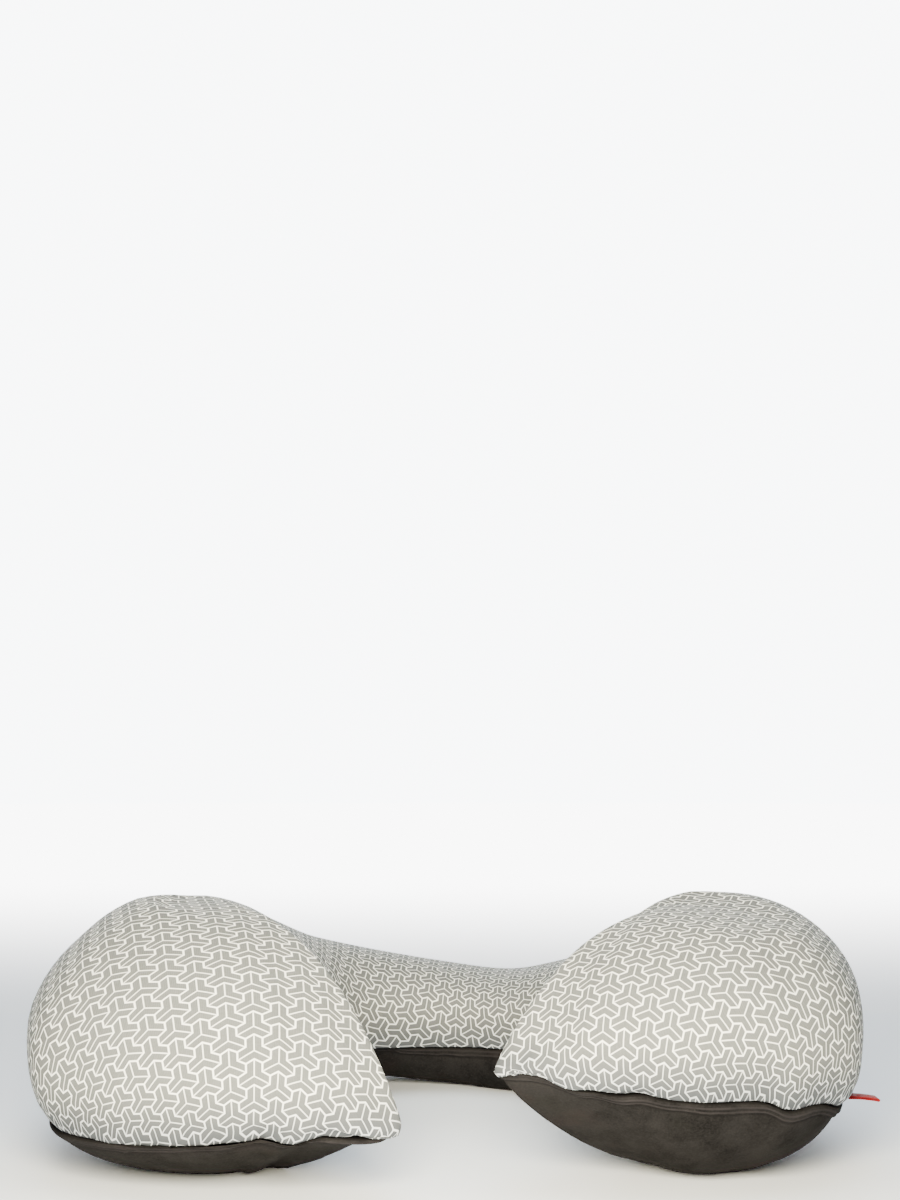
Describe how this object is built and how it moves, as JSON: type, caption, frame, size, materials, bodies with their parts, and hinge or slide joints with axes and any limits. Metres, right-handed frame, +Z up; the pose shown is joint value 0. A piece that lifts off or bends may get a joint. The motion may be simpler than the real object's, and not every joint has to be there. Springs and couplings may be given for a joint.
{
  "type": "travel pillow",
  "caption": "U-shaped stuffed neck pillow lying on its base, with full lobes, a lower bridge, a printed stretch top, a dark base and a small folded tab in the side seam.",
  "frame": {"origin": "middle of the box round the whole part, on the surface the pillow lies on", "axes": "+X across the lobes towards the one with the tab, +Y from the open front to the bridge, +Z up"},
  "size_m": [0.3062, 0.284, 0.0944],
  "materials": {
    "printed_jersey": "matte ribbed stretch jersey, warm grey with cream lines",
    "suede_cloth": "matte dark brown napped cloth",
    "red_ribbon": "soft woven ribbon"
  },
  "bodies": {
    "root": {"top_cover": "printed_jersey", "base_cover": "suede_cloth", "side_tab": "red_ribbon"}
  },
  "joints": []
}
